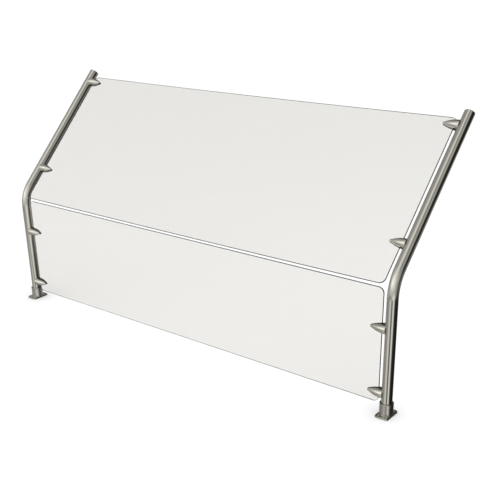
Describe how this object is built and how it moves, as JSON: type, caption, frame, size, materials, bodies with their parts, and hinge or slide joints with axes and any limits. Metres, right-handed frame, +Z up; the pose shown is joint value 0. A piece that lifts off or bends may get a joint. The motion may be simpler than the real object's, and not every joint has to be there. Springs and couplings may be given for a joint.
{
  "type": "sneeze guard",
  "caption": "Countertop sneeze guard: bent tube posts on bolt-down flanges hold an upright lower glass pane and a leaning upper glass pane in tapered split clamps",
  "frame": {"origin": "on the counter, midway between the centre lines of the two posts", "axes": "+X runs from the left post to the right post, as the diner sees them; +Y runs from the diner to the server, the way the posts lean; +Z is up"},
  "size_m": [1.84, 0.5067, 0.9387],
  "materials": {
    "post_tube": "stainless tube, brushed round the tube and satin polished",
    "end_plug": "turned stainless plug, satin",
    "flange": "cast stainless flange, satin polished",
    "clamp_metal": "cast stainless clamp, satin polished",
    "glass": "tempered soda-lime glass with ground and polished edges",
    "rubber": "black moulded rubber, matt",
    "fasteners": "stainless fasteners, bright"
  },
  "bodies": {
    "root": {"post_left": "post_tube", "post_right": "post_tube", "end_plug_left": "end_plug", "end_plug_right": "end_plug", "flange_left": "flange", "flange_right": "flange", "flange_set_screws": "fasteners", "lower_glass": "glass", "upper_glass": "glass", "clamp_body_left_1": "clamp_metal", "clamp_body_left_2": "clamp_metal", "clamp_body_left_3": "clamp_metal", "clamp_body_left_4": "clamp_metal", "clamp_body_right_1": "clamp_metal", "clamp_body_right_2": "clamp_metal", "clamp_body_right_3": "clamp_metal", "clamp_body_right_4": "clamp_metal", "clamp_cover_left_1": "clamp_metal", "clamp_cover_left_2": "clamp_metal", "clamp_cover_left_3": "clamp_metal", "clamp_cover_left_4": "clamp_metal", "clamp_cover_right_1": "clamp_metal", "clamp_cover_right_2": "clamp_metal", "clamp_cover_right_3": "clamp_metal", "clamp_cover_right_4": "clamp_metal", "clamp_rubber_left_1": "rubber", "clamp_rubber_left_2": "rubber", "clamp_rubber_left_3": "rubber", "clamp_rubber_left_4": "rubber", "clamp_rubber_right_1": "rubber", "clamp_rubber_right_2": "rubber", "clamp_rubber_right_3": "rubber", "clamp_rubber_right_4": "rubber", "clamp_bolts": "fasteners", "clamp_cover_screws": "fasteners", "rivet_nuts": "fasteners"}
  },
  "joints": []
}
